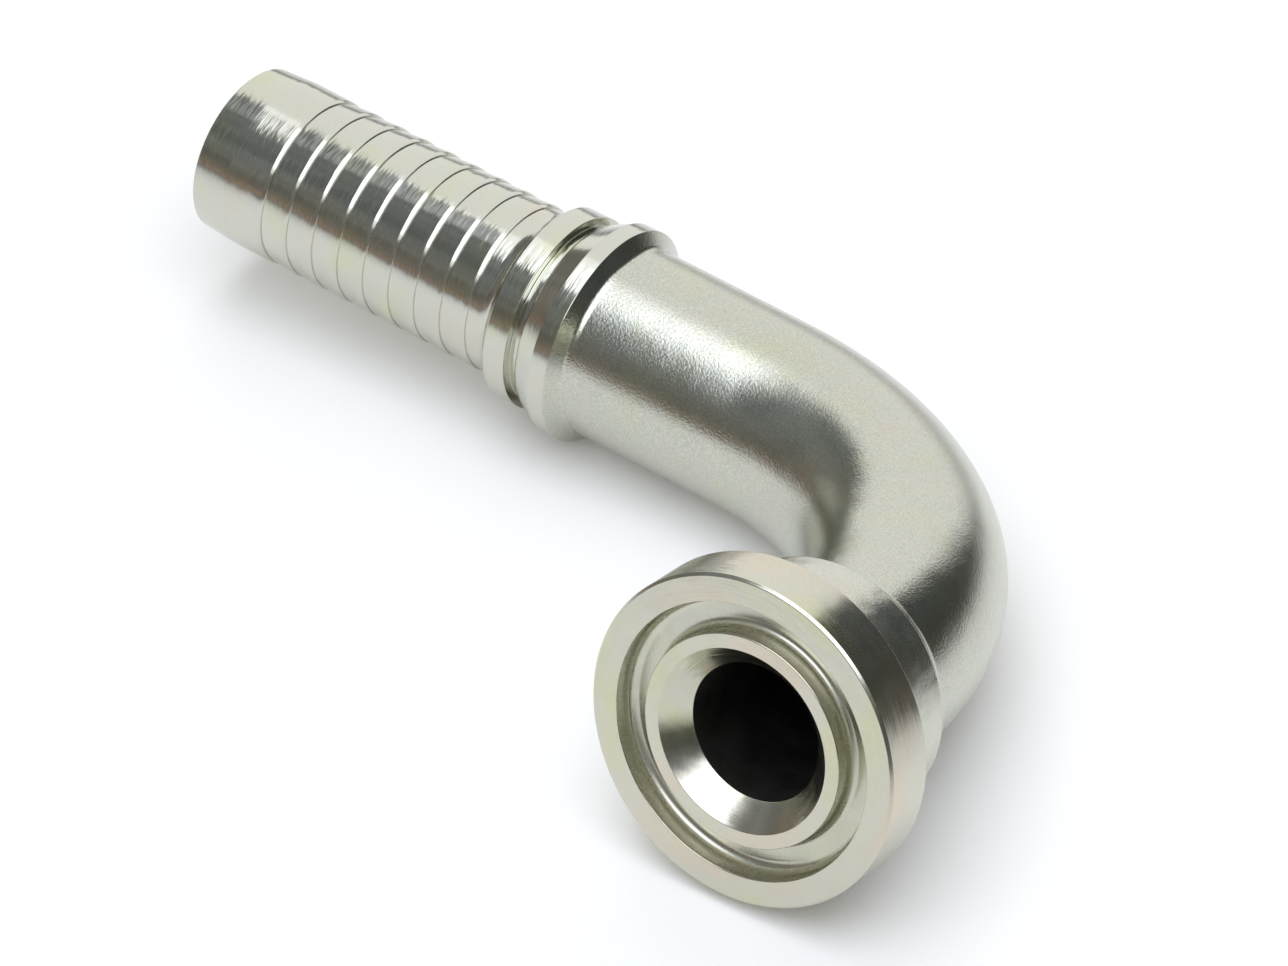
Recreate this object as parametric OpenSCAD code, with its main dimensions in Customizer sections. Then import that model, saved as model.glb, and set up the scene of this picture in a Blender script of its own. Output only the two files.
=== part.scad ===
// Elbow hose fitting in one piece: a flange head with a seal groove, a neck, a bent tube, a double collar
// with a locking groove for a crimp sleeve, and a serrated hose tail.
// The origin is the centre of the sealing face, which looks along -Y. The tube bends towards -X in the XY plane.

/* [Flange head] */
// Diameter of the flange head
head_d = 38.1; // [37:0.1:60]
// Thickness of the flange head, from the sealing face to its back
head_t = 6.7; // [5:0.1:12]
// Chamfer around the sealing face
face_chamfer = 0.3; // [0.1:0.1:1]
// Chamfer around the back of the head
back_chamfer = 0.2; // [0.1:0.1:1]
// Hollow rounding between the head and the neck
neck_fillet = 0.8; // [0.2:0.1:2]

/* [Seal groove] */
// Outer diameter of the seal groove
seal_od = 31.7; // [29:0.1:36]
// Inner diameter of the seal groove, which is the diameter of the land inside it
seal_id = 24.6; // [22:0.1:27]
// Depth of the seal groove below the sealing face
seal_depth = 2.8; // [1.5:0.1:4]
// Rounding in the two corners of the groove's floor
seal_corner = 0.9; // [0.1:0.1:1]
// Distance that the land inside the groove lies below the sealing face
land_recess = 0.15; // [0.05:0.05:0.5]

/* [Bore] */
// Diameter of the bore, the same from end to end
bore_d = 15.8; // [10:0.1:17]
// Diameter of the countersunk mouth in the land
mouth_d = 21.2; // [18:0.1:21.8]
// Full angle of the countersink, in degrees
mouth_angle = 90; // [60:1:120]

/* [Neck] */
// Diameter of the neck behind the head
neck_d = 29.2; // [27:0.1:34]
// Length of the neck behind the head
neck_len = 10.3; // [5:0.1:30]
// Chamfer at the end of the neck
neck_chamfer = 0.4; // [0.1:0.1:1]
// Length of the sloped shoulder from the neck down to the tube
shoulder_len = 3.5; // [1:0.1:12]

/* [Bent tube] */
// Outer diameter of the tube
tube_d = 23; // [21:0.1:25]
// Radius of the bend at the tube's axis
bend_r = 36; // [20:0.5:80]
// Angle of the bend, in degrees
bend_angle = 90; // [20:1:120]
// Straight length of tube from the bend to the back edge of the collar
tube_len = 21.2; // [8:0.1:80]

/* [Collar and locking groove] */
// Height of the collar above the tube
collar_height = 1.7; // [0.5:0.1:6]
// Width of the collar's round band
collar_w = 2.1; // [1:0.1:8]
// Angle between the tube and the cone on the collar's back, in degrees
collar_angle = 50; // [49:1:85]
// Hollow rounding between the tube and the cone
collar_fillet = 1.2; // [1:0.1:6]
// Length of the slope on the collar's front
collar_slope = 2.9; // [0.5:0.1:6]
// Height that the collar's front slope loses on its way to the locking groove
slope_drop = 1.5; // [0.3:0.1:2]
// Width of the locking groove
lock_w = 1.4; // [1:0.1:8]
// Height of the ring in front of the locking groove, above the crests of the serrations
ring_height = 1.55; // [0.5:0.05:5]
// Width of the ring's round band
ring_w = 2.9; // [1:0.1:8]
// Depth of the locking groove below the ring
lock_depth = 1.1; // [0.3:0.1:2]
// Hollow rounding between the ring and the hose tail
ring_fillet = 2.6; // [0.5:0.1:3]

/* [Hose tail] */
// Diameter over the crests of the serrations
crest_d = 20.9; // [19:0.1:22]
// Depth of a serration below its crest
serration_depth = 0.3; // [0.1:0.05:0.8]
// Length from the ring to the first serration
serration_gap = 3.9; // [3.5:0.1:20]
// Distance from one serration to the next
serration_pitch = 3.7; // [2:0.1:8]
// Number of serrations
serration_count = 9; // [2:1:20]
// Length of the plain tip past the last serration
tip_len = 10.2; // [6:0.1:40]
// Length of the slight taper that ends the plain tip
lead_len = 4.6; // [1:0.1:9]
// Diameter of the tip at its end
tip_d = 20.3; // [18.6:0.1:20.9]
// Chamfer around the end of the tip
tip_chamfer = 0.15; // [0.05:0.05:0.5]

/* [Hidden] */
$fn = 96;
arc_steps = 10;

head_r = head_d / 2;
seal_or = seal_od / 2;
seal_ir = seal_id / 2;
mouth_r = mouth_d / 2;
bore_r = bore_d / 2;
neck_r = neck_d / 2;
tube_r = tube_d / 2;
crest_r = crest_d / 2;
root_r = crest_r - serration_depth;
collar_r = tube_r + collar_height;
slope_r = collar_r - slope_drop;
ring_r = crest_r + ring_height;
lock_r = ring_r - lock_depth;
mouth_depth = (mouth_r - bore_r) / tan(mouth_angle / 2);
// The roundings of the groove's floor take at most a third of its width each
floor_corner = min(seal_corner, (seal_or - seal_ir) / 3);

// Stations along the neck, from the sealing face
neck_end = head_t + neck_len;
bend_start = neck_end + shoulder_len;

// Stations along the tail, from the end of the bend
collar_back = tube_len;
collar_front = collar_back + collar_w;
slope_foot = collar_front + collar_slope;
ring_back = slope_foot + lock_w;
ring_front = ring_back + ring_w;
serration_start = ring_front + serration_gap;
tip_start = serration_start + (serration_count - 1) * serration_pitch;
tip_end = tip_start + tip_len;

// The hollow at the foot of the collar's cone turns up to the cone's angle, and takes at most half the height
foot_turn = min(collar_angle, acos(max(0, 1 - collar_height / (2 * collar_fillet))));
foot_climb = collar_fillet * (1 - cos(foot_turn));
foot_end = collar_back - (collar_height - foot_climb) / tan(collar_angle);
foot_start = foot_end - collar_fillet * sin(foot_turn);

// The hollow between the ring and the hose tail climbs to the ring's edge. It is never smaller than that
// climb, so that it doesn't undercut.
ring_hollow = max(ring_fillet, ring_r - root_r);
ring_turn = acos(1 - (ring_r - root_r) / ring_hollow);
ring_foot = ring_front + ring_hollow * sin(ring_turn);

// Points of an arc about a centre, both ends included
function arc(centre, radius, from, to) = [
    for (i = [0 : arc_steps])
        let (a = from + (to - from) * i / arc_steps)
        centre + radius * [cos(a), sin(a)]
];

// Half section of the head and neck, as radius and distance from the sealing face
head_section = concat(
    [[head_r - face_chamfer, 0], [head_r, face_chamfer]],
    [[head_r, head_t - back_chamfer], [head_r - back_chamfer, head_t]],
    arc([neck_r + neck_fillet, head_t + neck_fillet], neck_fillet, 270, 180),
    [[neck_r, neck_end - neck_chamfer], [neck_r - neck_chamfer, neck_end]],
    [[tube_r, bend_start], [bore_r, bend_start]],
    [[bore_r, land_recess + mouth_depth], [mouth_r, land_recess], [seal_ir, land_recess]],
    arc([seal_ir + floor_corner, seal_depth - floor_corner], floor_corner, 180, 90),
    arc([seal_or - floor_corner, seal_depth - floor_corner], floor_corner, 90, 0),
    [[seal_or, 0]]
);

// The sawtooth of the hose tail: each crest has its wall on the collar side and slopes down towards the tip
serration_points = [
    for (i = [0 : serration_count - 1], r = [root_r, crest_r])
        [r, serration_start + i * serration_pitch]
];

// Half section of the straight tube, collar and hose tail, as radius and distance from the end of the bend
tail_section = concat(
    [[bore_r, 0], [tube_r, 0]],
    arc([tube_r + collar_fillet, foot_start], collar_fillet, 180, 180 - foot_turn),
    [[collar_r, collar_back], [collar_r, collar_front], [slope_r, slope_foot]],
    [[lock_r, slope_foot], [lock_r, ring_back], [ring_r, ring_back]],
    arc([root_r + ring_hollow, ring_foot], ring_hollow, 180 + ring_turn, 180),
    serration_points,
    [[crest_r, tip_end - lead_len]],
    [[tip_d / 2, tip_end - tip_chamfer], [tip_d / 2 - tip_chamfer, tip_end], [bore_r, tip_end]]
);

module head_and_neck() {
    rotate([-90, 0, 0])
        rotate_extrude() polygon(head_section);
}

module bend() {
    translate([-bend_r, bend_start, 0])
        rotate_extrude(angle = bend_angle)
            translate([bend_r, 0])
                difference() {
                    circle(d = tube_d);
                    circle(d = bore_d);
                }
}

module tail() {
    translate([-bend_r, bend_start, 0])
        rotate([0, 0, bend_angle])
            translate([bend_r, 0, 0])
                rotate([-90, 0, 0])
                    rotate_extrude() polygon(tail_section);
}

module hose_fitting() {
    color("silver")
        union() {
            head_and_neck();
            bend();
            tail();
        }
}

hose_fitting();
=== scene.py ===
import math
import bpy
import numpy as np
from mathutils import Matrix


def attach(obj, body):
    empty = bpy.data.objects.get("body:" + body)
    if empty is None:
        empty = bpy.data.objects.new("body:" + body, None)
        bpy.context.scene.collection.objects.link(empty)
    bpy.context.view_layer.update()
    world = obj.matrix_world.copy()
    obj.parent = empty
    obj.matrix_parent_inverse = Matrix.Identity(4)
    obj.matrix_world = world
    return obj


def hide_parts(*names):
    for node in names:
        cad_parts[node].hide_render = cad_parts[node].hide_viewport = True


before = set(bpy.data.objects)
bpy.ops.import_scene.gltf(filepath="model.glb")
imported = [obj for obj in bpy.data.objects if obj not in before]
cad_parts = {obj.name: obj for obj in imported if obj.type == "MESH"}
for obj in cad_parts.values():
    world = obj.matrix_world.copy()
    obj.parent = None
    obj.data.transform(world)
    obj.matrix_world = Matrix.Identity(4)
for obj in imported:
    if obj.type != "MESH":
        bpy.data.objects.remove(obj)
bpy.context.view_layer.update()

# Camera
# A long lens stands about 0.8 m away, above the flange and to its right, so that the sealing face, the bend
# and the hose tail all show. The fitting lies on its flange rim and its collar, so the frame's own Z leans
# a little in the picture.
camera_place = (0.30975, -0.58324, 0.43136)
camera_right = (0.803979, 0.569884, 0.169854)
camera_up = (-0.423114, 0.347516, 0.836784)
camera_back = (0.417842, -0.744624, 0.520521)

camera_data = bpy.data.cameras.new("camera")
camera_data.sensor_width = 36.0
camera_data.lens = 209.98
camera_data.clip_start = 0.01
camera_data.clip_end = 20.0
camera = bpy.data.objects.new("camera", camera_data)
bpy.context.scene.collection.objects.link(camera)
axes = Matrix((camera_right, camera_up, camera_back)).transposed()
camera.matrix_world = Matrix.Translation(camera_place) @ axes.to_4x4()
bpy.context.scene.camera = camera
bpy.context.scene.view_settings.view_transform = "Standard"

# Hose fitting body
# One piece of steel turned from bar: a flange head with a seal groove, a neck, a tube bent through a right
# angle, a double collar with a locking groove, and a serrated hose tail. It is drilled before it is bent,
# and bright zinc plated as a whole. Sizes are in millimetres.
head_r = 19.05
head_t = 6.7
face_chamfer = 0.3
back_chamfer = 0.2
seal_or = 15.85
seal_ir = 12.3
seal_depth = 2.8
land_recess = 0.15
mouth_r = 10.6
mouth_depth = 2.7
bore_r = 7.9
neck_r = 14.6
neck_end = 17.0
neck_chamfer = 0.4
bend_start = 20.5
bend_r = 36.0
bend_end = bend_start + bend_r * math.pi / 2
tube_r = 11.5
collar_r = 13.2
slope_r = 11.7
lock_r = 10.9
ring_r = 12.0
crest_r = 10.45
root_r = 10.15
first_serration = 34.4
serration_pitch = 3.7
serration_count = 9
bevel_w = 0.45
tip_end = 74.2
tip_r = 10.15
around = 264
corner_steps = 4


def rounded_section(corners):
    """A half section as a line from corner to corner, each corner (station, radius, rounding) turned by an arc.

    The arc of a corner starts a tangent length before it, which is the rounding times the tangent of half the
    turn, and its centre lies the rounding to the inside. The normal turns with it, from the left of the line
    that comes in to the left of the line that goes out. Returns rows of station, radius and the two parts of
    the normal, for every arc point in order.
    """
    corners = np.array(corners, float)
    points = corners[:, :2]
    rounding = corners[:, 2]
    going = np.diff(points, axis=0)
    going = going / np.linalg.norm(going, axis=1, keepdims=True)
    comes = going[:-1]
    goes = going[1:]
    turn = np.arctan2(
        comes[:, 0] * goes[:, 1] - comes[:, 1] * goes[:, 0],
        (comes * goes).sum(axis=1),
    )
    radius = rounding[1:-1]
    left = np.stack([-comes[:, 1], comes[:, 0]], axis=1)
    side = np.sign(turn)[:, None]
    start = points[1:-1] - comes * (radius * np.tan(np.abs(turn) / 2))[:, None]
    centre = start + left * side * radius[:, None]
    angle = turn[:, None] * np.linspace(0, 1, corner_steps + 1)[None, :]
    normal = np.stack(
        [
            left[:, 0:1] * np.cos(angle) - left[:, 1:2] * np.sin(angle),
            left[:, 0:1] * np.sin(angle) + left[:, 1:2] * np.cos(angle),
        ],
        axis=2,
    )
    place = centre[:, None, :] - normal * (side * radius[:, None])[:, None, :]
    return np.concatenate([place, normal], axis=2).reshape(-1, 4)


def straight_run(start, end, radius, outward, count):
    """Rings of one radius at even stations between two ends, with the normal square to the axis."""
    stations = np.linspace(start, end, count)
    rows = np.zeros((count, 4))
    rows[:, 0] = stations
    rows[:, 1] = radius
    rows[:, 3] = outward
    return rows


def fitting_section():
    """The closed half section of the whole fitting, from the bore's mouth over the outside to the tip and back.

    Stations run along the centre line from the sealing face: straight to the bend, along its arc, then along
    the tail. The serrations are a sawtooth, a short wall on the collar side and a slope towards the tip, with
    a narrow bevel where the crest is rolled over.
    """
    head = rounded_section([
        (bend_start, bore_r, 0),
        (land_recess + mouth_depth, bore_r, 0.25),
        (land_recess, mouth_r, 0.12),
        (land_recess, seal_ir, 0.15),
        (seal_depth, seal_ir, 0.9),
        (seal_depth, seal_or, 1.2),
        (0.0, seal_or, 0.12),
        (0.0, head_r - face_chamfer, 0.15),
        (face_chamfer, head_r, 0.15),
        (head_t - back_chamfer, head_r, 0.1),
        (head_t, head_r - back_chamfer, 0.1),
        (head_t, neck_r, 0.8),
        (neck_end - neck_chamfer, neck_r, 0.2),
        (neck_end, neck_r - neck_chamfer, 0.2),
        (bend_start, tube_r, 1.2),
        (bend_end, tube_r, 0),
    ])
    wall = first_serration + serration_pitch * np.arange(serration_count)
    tooth = np.array([
        (0.0, root_r, 0.03),
        (0.0, crest_r - 0.17, 0.06),
        (bevel_w, crest_r - bevel_w * (crest_r - root_r) / serration_pitch, 0.8),
    ])
    teeth = np.tile(tooth, (serration_count, 1, 1))
    teeth[:, :, 0] += wall[:, None]
    teeth = teeth.reshape(-1, 3)
    tail = np.concatenate([
        [
            (0.0, tube_r, 0),
            (19.773, tube_r, 1.2),
            (21.2, collar_r, 0.12),
            (23.3, collar_r, 0.15),
            (26.2, slope_r, 0.08),
            (26.2, lock_r, 0.1),
            (27.6, lock_r, 0.1),
            (27.6, ring_r, 0.1),
            (30.5, ring_r, 0.12),
            (31.056, root_r, 2.45),
        ],
        teeth,
        [
            (tip_end - 4.6, crest_r, 6.0),
            (tip_end - 0.15, tip_r, 0.1),
            (tip_end, tip_r - 0.15, 0.1),
            (tip_end, bore_r, 0.15),
            (0.0, bore_r, 0),
        ],
    ])
    tail[:, 0] += bend_end
    return np.concatenate([
        head,
        straight_run(bend_start + 1.5, bend_end, tube_r, 1.0, 45),
        rounded_section(tail),
        straight_run(bend_end, bend_start, bore_r, -1.0, 45),
    ])


def along_centre_line(station, across, up):
    """Carries a section point, across the bend plane and up from it, to its place beside the centre line.

    The line is straight along Y to the bend, then turns about the bend's centre towards -X, and is straight
    again. The turn at a station is the arc length past the bend's start over the bend's radius, held between
    nothing and a right angle, and the point is carried by that turn.
    """
    angle = np.clip((station - bend_start) / bend_r, 0.0, math.pi / 2)
    before = np.minimum(station, bend_start)
    after = np.maximum(station - bend_end, 0.0)
    reach = bend_r + across
    x = -bend_r + reach * np.cos(angle) - after
    y = before + reach * np.sin(angle)
    return np.stack([x, y, up], axis=-1)


section = fitting_section()
station = section[:, 0][:, None]
radius = section[:, 1][:, None]
turn = np.linspace(0, 2 * math.pi, around, endpoint=False)[None, :]
points = along_centre_line(station + 0 * turn, radius * np.cos(turn), radius * np.sin(turn))
bend_angle = np.clip((station - bend_start) / bend_r, 0.0, math.pi / 2)
forward = np.stack([-np.sin(bend_angle), np.cos(bend_angle), 0 * bend_angle], axis=-1)
sideways = np.stack([np.cos(bend_angle), np.sin(bend_angle), 0 * bend_angle], axis=-1)
upwards = np.array([0.0, 0.0, 1.0])
outwards = sideways * np.cos(turn)[:, :, None] + upwards * np.sin(turn)[:, :, None]
normals = forward * section[:, 2][:, None, None] + outwards * section[:, 3][:, None, None]

rings = len(section)
first = np.arange(rings)
second = (first + 1) % rings
column = np.arange(around)
next_column = (column + 1) % around
faces = np.stack([
    first[:, None] * around + column[None, :],
    second[:, None] * around + column[None, :],
    second[:, None] * around + next_column[None, :],
    first[:, None] * around + next_column[None, :],
], axis=-1).reshape(-1, 4)

body_mesh = bpy.data.meshes.new("hose_fitting_body")
body_mesh.from_pydata((points.reshape(-1, 3) * 0.001).tolist(), [], faces.tolist())
body_mesh.shade_smooth()

travel = np.concatenate([[0.0], np.cumsum(np.linalg.norm(np.diff(section[:, :2], axis=0), axis=1))])
travel_next = np.append(travel[1:], travel[-1] + np.linalg.norm(section[0, :2] - section[-1, :2]))
layer = body_mesh.uv_layers.new(name="turning")
u_here = np.broadcast_to(column / around, (rings, around))
u_next = np.broadcast_to((column + 1) / around, (rings, around))
v_here = np.broadcast_to(travel[:, None] * 0.01, (rings, around))
v_next = np.broadcast_to(travel_next[:, None] * 0.01, (rings, around))
corner_uv = np.stack([
    np.stack([u_here, v_here], axis=-1),
    np.stack([u_here, v_next], axis=-1),
    np.stack([u_next, v_next], axis=-1),
    np.stack([u_next, v_here], axis=-1),
], axis=2)
layer.data.foreach_set("uv", corner_uv.astype(np.float32).ravel())
body_mesh.normals_split_custom_set_from_vertices(normals.reshape(-1, 3).tolist())

body = bpy.data.objects.new("hose_fitting_body", body_mesh)
bpy.context.scene.collection.objects.link(body)


def plated_steel(name, cast, film, speckle, roughness, lines, ripples, grain, waves, anisotropy):
    """Bright zinc on steel: a warm grey metal whose passivated film shifts between neutral, pink and green.

    The film and the turning lines are noise on a point that runs round a circle with the turn and along its
    axis with the profile, so they close round the piece. The film's patches are wide, and the lines change
    quickly along the profile and slowly round it, with short ripples of the tool between them. The grain and
    the waves are even noise, each with its height and its size in metres. A smaller film number gives
    stronger patches.
    """
    material = bpy.data.materials.new(name)
    material.use_nodes = True
    nodes = material.node_tree.nodes
    links = material.node_tree.links
    nodes.clear()
    output = nodes.new("ShaderNodeOutputMaterial")
    metal = nodes.new("ShaderNodeBsdfPrincipled")
    metal.inputs["Metallic"].default_value = 1.0
    metal.inputs["Anisotropic"].default_value = anisotropy
    links.new(metal.outputs[0], output.inputs["Surface"])

    uv = nodes.new("ShaderNodeUVMap")
    uv.uv_map = "turning"
    parts = nodes.new("ShaderNodeSeparateXYZ")
    links.new(uv.outputs["UV"], parts.inputs[0])
    full_turn = nodes.new("ShaderNodeMath")
    full_turn.operation = "MULTIPLY"
    full_turn.inputs[1].default_value = 2 * math.pi
    links.new(parts.outputs["X"], full_turn.inputs[0])
    circle = nodes.new("ShaderNodeCombineXYZ")
    for operation, socket in (("COSINE", "X"), ("SINE", "Y")):
        wave = nodes.new("ShaderNodeMath")
        wave.operation = operation
        links.new(full_turn.outputs[0], wave.inputs[0])
        links.new(wave.outputs[0], circle.inputs[socket])
    links.new(parts.outputs["Y"], circle.inputs["Z"])

    def turned_noise(stretch, detail):
        """Noise on the circle's point, stretched round and along the profile by the two numbers given."""
        scale = nodes.new("ShaderNodeVectorMath")
        scale.operation = "MULTIPLY"
        scale.inputs[1].default_value = (stretch[0], stretch[0], stretch[1])
        links.new(circle.outputs[0], scale.inputs[0])
        noise = nodes.new("ShaderNodeTexNoise")
        noise.inputs["Scale"].default_value = 1.0
        noise.inputs["Detail"].default_value = detail
        links.new(scale.outputs[0], noise.inputs["Vector"])
        return noise.outputs["Fac"]

    place = nodes.new("ShaderNodeTexCoord")

    def even_noise(size, detail):
        """Noise in the piece's own space, with cells of the given size."""
        noise = nodes.new("ShaderNodeTexNoise")
        noise.inputs["Scale"].default_value = 1 / size
        noise.inputs["Detail"].default_value = detail
        noise.inputs["Roughness"].default_value = 0.65
        links.new(place.outputs["Object"], noise.inputs["Vector"])
        return noise.outputs["Fac"]

    tint = nodes.new("ShaderNodeValToRGB")
    ramp = tint.color_ramp
    ramp.elements[0].position = 0.5 - film
    ramp.elements[0].color = (0.605, 0.612, 0.45, 1)
    ramp.elements[1].position = 0.5 + film
    ramp.elements[1].color = (0.63, 0.59, 0.5, 1)
    ramp.elements.new(0.5).color = (0.605, 0.607, 0.54, 1)
    links.new(turned_noise((1.3, 15.0), 2.0), tint.inputs["Fac"])
    specks = nodes.new("ShaderNodeMapRange")
    specks.inputs["From Min"].default_value = 0.3
    specks.inputs["From Max"].default_value = 0.7
    specks.inputs["To Min"].default_value = 1 - speckle
    specks.inputs["To Max"].default_value = 1 + speckle
    links.new(even_noise(0.00022, 1.0), specks.inputs["Value"])
    speckled = nodes.new("ShaderNodeVectorMath")
    speckled.operation = "MULTIPLY"
    links.new(tint.outputs["Color"], speckled.inputs[0])
    links.new(specks.outputs["Result"], speckled.inputs[1])
    toned = nodes.new("ShaderNodeVectorMath")
    toned.operation = "MULTIPLY"
    toned.inputs[1].default_value = cast
    links.new(speckled.outputs[0], toned.inputs[0])
    links.new(toned.outputs[0], metal.inputs["Base Color"])

    rough = nodes.new("ShaderNodeMapRange")
    rough.inputs["From Min"].default_value = 0.3
    rough.inputs["From Max"].default_value = 0.7
    rough.inputs["To Min"].default_value = roughness * 0.85
    rough.inputs["To Max"].default_value = roughness * 1.2
    links.new(even_noise(0.004, 4.0), rough.inputs["Value"])
    links.new(rough.outputs["Result"], metal.inputs["Roughness"])

    heights = [(lines, turned_noise((0.35, 500.0), 2.0))]
    if ripples > 0:
        heights.append((ripples, turned_noise((3.5, 110.0), 2.0)))
    if grain:
        heights.append((grain[0], even_noise(grain[1], 3.0)))
    if waves:
        heights.append((waves[0], even_noise(waves[1], 1.0)))
    normal = None
    for height, noise in heights:
        bump = nodes.new("ShaderNodeBump")
        bump.inputs["Distance"].default_value = height
        links.new(noise, bump.inputs["Height"])
        if normal:
            links.new(normal, bump.inputs["Normal"])
        normal = bump.outputs["Normal"]
    links.new(normal, metal.inputs["Normal"])
    if anisotropy > 0:
        tangent = nodes.new("ShaderNodeTangent")
        tangent.direction_type = "UV_MAP"
        tangent.uv_map = "turning"
        links.new(tangent.outputs["Tangent"], metal.inputs["Tangent"])
    return material


bare = (1.0, 1.0, 1.0)
warm = (1.01, 0.985, 0.945)
dull = (0.91, 0.915, 0.9)
# The bore's colour is cut to 0.12 of the metal's: painted shade for the deep, narrow hole.
painted_shade = (0.12, 0.12, 0.12)
olive = (0.99, 0.975, 0.93)
fine_turned_zinc = plated_steel("fine_turned_zinc", bare, 0.28, 0.02, 0.13, 0.000008, 0.00004, None, None, 0.4)
turned_zinc = plated_steel("turned_zinc", warm, 0.15, 0.03, 0.2, 0.000012, 0.00003, None, (0.00008, 0.004), 0.5)
groove_zinc = plated_steel("groove_zinc", olive, 0.5, 0.0, 0.27, 0.000006, 0, None, None, 0.5)
satin_grain = (0.00003, 0.0003)
satin_waves = (0.00006, 0.005)
satin_zinc = plated_steel("satin_zinc", dull, 0.4, 0.12, 0.18, 0.000002, 0, satin_grain, satin_waves, 0.0)
neck_waves = (0.00013, 0.003)
neck_zinc = plated_steel("neck_zinc", bare, 0.3, 0.06, 0.25, 0.000004, 0.00002, (0.00002, 0.0003), neck_waves, 0.0)
# bore_zinc carries that painted shade of the hole in its base colour.
bore_zinc = plated_steel("bore_zinc", painted_shade, 0.4, 0.02, 0.6, 0.00002, 0, None, None, 0.0)
for finish in (fine_turned_zinc, turned_zinc, groove_zinc, satin_zinc, neck_zinc, bore_zinc):
    body_mesh.materials.append(finish)
where = section[:, 0]
in_bore = section[:, 1] < bore_r + 0.01
ring_material = np.select(
    [
        in_bore,
        where > bend_end + 20.6,
        (where > neck_end - 0.05) & (section[:, 3] > 0.2),
        (where > head_t + 0.7) & (section[:, 3] > 0.2),
        (where > 0.2) & (where <= seal_depth) & (section[:, 1] > seal_ir - 0.01) & (section[:, 1] < seal_or + 0.01),
    ],
    [5, 0, 3, 4, 2],
    1,
)
body_mesh.polygons.foreach_set("material_index", np.repeat(ring_material.astype(np.int32), around))

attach(body, "root")
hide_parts("hose_fitting")

# Table top
# The fitting lies on a smooth white table, touching it with the flange's rim, the collar and the underside
# of the bend. The table therefore leans a few degrees against the fitting's own frame, and it is see-through
# from below, where the views from behind look up at it.
table_up = np.array([-0.0617, -0.182, 0.9814])
table_up = table_up / np.linalg.norm(table_up)
table_offset = -0.01993
table_side = np.cross([0.0, 1.0, 0.0], table_up)
table_side = table_side / np.linalg.norm(table_side)
table_long = np.cross(table_up, table_side)
corner_signs = np.array([[-1, -1], [1, -1], [1, 1], [-1, 1]]) * 3.0
table_corners = (
    table_up * table_offset
    + corner_signs[:, 0:1] * table_side
    + corner_signs[:, 1:2] * table_long
)
table_mesh = bpy.data.meshes.new("table_top")
table_mesh.from_pydata(table_corners.tolist(), [], [(0, 1, 2, 3)])
table = bpy.data.objects.new("table_top", table_mesh)
bpy.context.scene.collection.objects.link(table)

table_material = bpy.data.materials.new("white_table")
table_material.use_nodes = True
nodes = table_material.node_tree.nodes
links = table_material.node_tree.links
nodes.clear()
output = nodes.new("ShaderNodeOutputMaterial")
paint = nodes.new("ShaderNodeBsdfDiffuse")
paint.inputs["Color"].default_value = (0.96, 0.955, 0.92, 1)
path = nodes.new("ShaderNodeLightPath")
glow = nodes.new("ShaderNodeEmission")
glow_share = nodes.new("ShaderNodeMix")
glow_share.inputs["A"].default_value = 0.0
glow_share.inputs["B"].default_value = 0.1
seen = nodes.new("ShaderNodeMath")
seen.operation = "MULTIPLY_ADD"
seen.inputs[1].default_value = 0.55
links.new(path.outputs["Is Glossy Ray"], seen.inputs[0])
links.new(path.outputs["Is Camera Ray"], seen.inputs[2])
links.new(seen.outputs[0], glow_share.inputs["Factor"])
links.new(glow_share.outputs["Result"], glow.inputs["Strength"])
both = nodes.new("ShaderNodeAddShader")
links.new(paint.outputs[0], both.inputs[0])
links.new(glow.outputs[0], both.inputs[1])

geometry = nodes.new("ShaderNodeNewGeometry")
away = nodes.new("ShaderNodeVectorMath")
away.operation = "DISTANCE"
away.inputs[1].default_value = (-0.045, 0.03, -0.01)
links.new(geometry.outputs["Position"], away.inputs[0])
# Painted shade in reflections: seen by glossy rays, the table is mixed towards black with its distance from the
# fitting, by up to three quarters between 0.09 m and 0.36 m.
falling = nodes.new("ShaderNodeMapRange")
falling.inputs["From Min"].default_value = 0.09
falling.inputs["From Max"].default_value = 0.36
falling.inputs["To Min"].default_value = 0.0
falling.inputs["To Max"].default_value = 0.75
links.new(away.outputs["Value"], falling.inputs["Value"])
mirrored = nodes.new("ShaderNodeMath")
mirrored.operation = "MULTIPLY"
links.new(falling.outputs["Result"], mirrored.inputs[0])
links.new(path.outputs["Is Glossy Ray"], mirrored.inputs[1])
dark = nodes.new("ShaderNodeEmission")
dark.inputs["Strength"].default_value = 0.0
dimmed = nodes.new("ShaderNodeMixShader")
links.new(mirrored.outputs[0], dimmed.inputs["Fac"])
links.new(both.outputs[0], dimmed.inputs[1])
links.new(dark.outputs[0], dimmed.inputs[2])

clearing = nodes.new("ShaderNodeMapRange")
clearing.inputs["From Min"].default_value = 0.17
clearing.inputs["From Max"].default_value = 0.32
links.new(away.outputs["Value"], clearing.inputs["Value"])
cleared = nodes.new("ShaderNodeMath")
cleared.operation = "MULTIPLY"
links.new(clearing.outputs["Result"], cleared.inputs[0])
links.new(path.outputs["Is Camera Ray"], cleared.inputs[1])
white = nodes.new("ShaderNodeEmission")
white.inputs["Strength"].default_value = 1.0
surface = nodes.new("ShaderNodeMixShader")
links.new(cleared.outputs[0], surface.inputs["Fac"])
links.new(dimmed.outputs[0], surface.inputs[1])
links.new(white.outputs[0], surface.inputs[2])

clear = nodes.new("ShaderNodeBsdfTransparent")
sides = nodes.new("ShaderNodeMixShader")
links.new(geometry.outputs["Backfacing"], sides.inputs["Fac"])
links.new(surface.outputs[0], sides.inputs[1])
links.new(clear.outputs[0], sides.inputs[2])
links.new(sides.outputs[0], output.inputs["Surface"])
table_mesh.materials.append(table_material)
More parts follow.
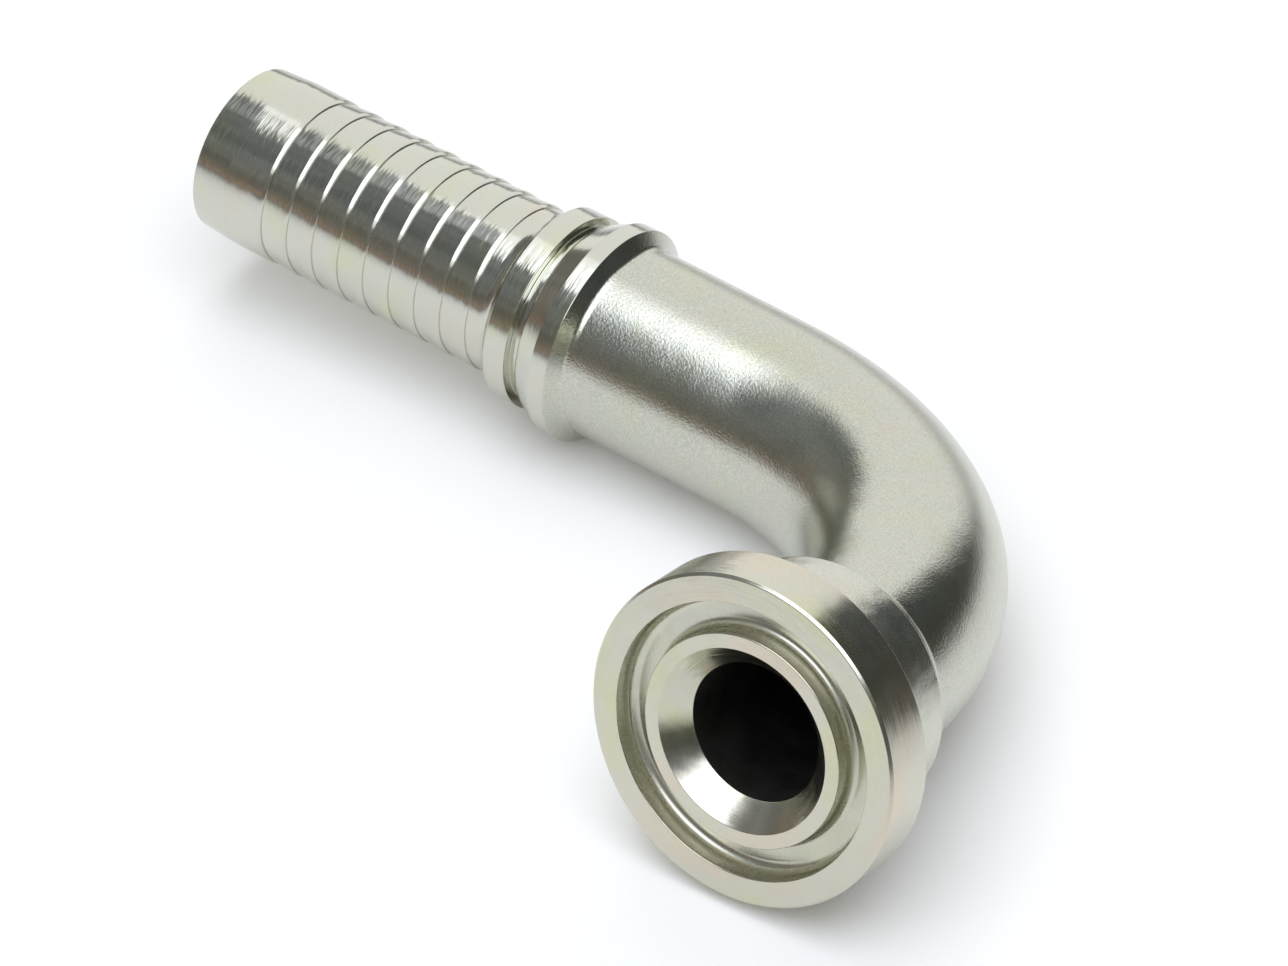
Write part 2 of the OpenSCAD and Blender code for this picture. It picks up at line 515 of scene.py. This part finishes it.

# Studio light
# A white room with a large soft lamp above, on the camera's side. Two dark screens stand round the table and
# leave it open at the back, so that the metal mirrors a dark band over a white table. Their colour is painted
# light: they glow at a set level instead of taking light from the lamps, which paints that dark band into the
# metal's reflection. They are there for reflections alone. Directions are an azimuth from the back towards the
# left, and a height over the table.
world = bpy.data.worlds.new("white_room")
bpy.context.scene.world = world
world.use_nodes = True
world.node_tree.nodes["Background"].inputs["Color"].default_value = (1.0, 1.0, 1.0, 1)
world.node_tree.nodes["Background"].inputs["Strength"].default_value = 1.08

room_centre = np.array([-0.04, 0.03, -0.01])
room_back = np.array([0.0, 1.0, 0.0]) - table_up * table_up[1]
room_back = room_back / np.linalg.norm(room_back)
room_left = np.cross(table_up, room_back)


def direction(azimuth, height):
    """Unit vectors at azimuths from the back towards the left and heights over the table, in degrees."""
    azimuth = np.radians(azimuth)[..., None]
    height = np.radians(height)[..., None]
    level = room_back * np.cos(azimuth) + room_left * np.sin(azimuth)
    return level * np.cos(height) + table_up * np.sin(height)


def screen(name, azimuths, tops, shades):
    """A curved screen on a sphere round the table, from its surface up to a height that changes along it.

    Its colour is painted light: a glow in three shades, at the table, a little above it and over the rest,
    slightly uneven, at the level at which the room would light a dark fabric there. The warmer shade at the
    table paints a reddish line into the metal's reflection, at the foot of the dark band.
    """
    along = np.linspace(azimuths[0], azimuths[-1], 61)[:, None]
    share = np.linspace(0, 1, 13)[None, :]
    height = -2 + (np.interp(along, azimuths, tops) + 2) * share
    grid = room_centre + 0.6 * direction(along + 0 * share, height)
    corner = (np.arange(60)[:, None] * 13 + np.arange(12)[None, :]).ravel()
    quads = np.stack([corner, corner + 1, corner + 14, corner + 13], axis=1)
    mesh = bpy.data.meshes.new(name)
    mesh.from_pydata(grid.reshape(-1, 3).tolist(), [], quads.tolist())
    level = mesh.attributes.new("level", "FLOAT", "POINT")
    level.data.foreach_set("value", (height / 40.0).astype(np.float32).ravel())
    painted_glow_material = bpy.data.materials.new(name)
    painted_glow_material.use_nodes = True
    painted_glow_material.cycles.emission_sampling = "NONE"
    nodes = painted_glow_material.node_tree.nodes
    links = painted_glow_material.node_tree.links
    nodes.clear()
    output = nodes.new("ShaderNodeOutputMaterial")
    painted_glow = nodes.new("ShaderNodeEmission")
    links.new(painted_glow.outputs[0], output.inputs["Surface"])
    read = nodes.new("ShaderNodeAttribute")
    read.attribute_name = "level"
    ramp = nodes.new("ShaderNodeValToRGB")
    ramp.color_ramp.elements[0].position = 0.05
    ramp.color_ramp.elements[0].color = shades[0]
    ramp.color_ramp.elements[1].position = 0.8
    ramp.color_ramp.elements[1].color = shades[2]
    ramp.color_ramp.elements.new(0.15).color = shades[1]
    links.new(read.outputs["Fac"], ramp.inputs["Fac"])
    place = nodes.new("ShaderNodeTexCoord")
    uneven = nodes.new("ShaderNodeTexNoise")
    uneven.inputs["Scale"].default_value = 9.0
    links.new(place.outputs["Object"], uneven.inputs["Vector"])
    glow_unevenness = nodes.new("ShaderNodeMapRange")
    glow_unevenness.inputs["From Min"].default_value = 0.3
    glow_unevenness.inputs["From Max"].default_value = 0.7
    glow_unevenness.inputs["To Min"].default_value = 0.6
    glow_unevenness.inputs["To Max"].default_value = 1.4
    links.new(uneven.outputs["Fac"], glow_unevenness.inputs["Value"])
    # Painted glow: the screen's colour is the ramp of shades times the unevenness, fed straight to an emission.
    painted_shade = nodes.new("ShaderNodeVectorMath")
    painted_shade.operation = "MULTIPLY"
    links.new(ramp.outputs["Color"], painted_shade.inputs[0])
    links.new(glow_unevenness.outputs["Result"], painted_shade.inputs[1])
    links.new(painted_shade.outputs[0], painted_glow.inputs["Color"])
    mesh.materials.append(painted_glow_material)
    piece = bpy.data.objects.new(name, mesh)
    bpy.context.scene.collection.objects.link(piece)
    piece.visible_camera = False


grey_shades = ((0.3, 0.22, 0.175, 1), (0.215, 0.195, 0.165, 1), (0.195, 0.21, 0.215, 1))
black_shades = ((0.09, 0.08, 0.07, 1), (0.07, 0.07, 0.062, 1), (0.066, 0.075, 0.078, 1))
grey_azimuths = (57, 72, 140, 150, 160, 170, 180, 200, 218)
grey_tops = (40, 60, 60, 55, 45, 36, 32, 33, 34)
screen("grey_screen", grey_azimuths, grey_tops, grey_shades)
screen("black_screen", (218, 240, 300, 340, 355), (34, 40, 55, 50, 35), black_shades)


def lamp(name, azimuth, height, away, size, energy, colour):
    """A square lamp in the given direction from the room's centre, facing it."""
    data = bpy.data.lights.new(name, "AREA")
    data.shape = "SQUARE"
    data.size = size
    data.energy = energy
    data.color = colour
    piece = bpy.data.objects.new(name, data)
    bpy.context.scene.collection.objects.link(piece)
    towards = direction(np.array(azimuth), np.array(height))
    side = np.cross(room_back, towards)
    side = side / np.linalg.norm(side)
    lamp_axes = Matrix((side, np.cross(towards, side), towards)).transposed()
    piece.matrix_world = Matrix.Translation(room_centre + away * towards) @ lamp_axes.to_4x4()


lamp("overhead_lamp", -165.0, 68.0, 0.9, 1.0, 4.5, (0.93, 1.0, 1.2))
lamp("near_lamp", 76.0, 62.0, 0.5, 0.18, 0.035, (0.95, 1.0, 1.12))
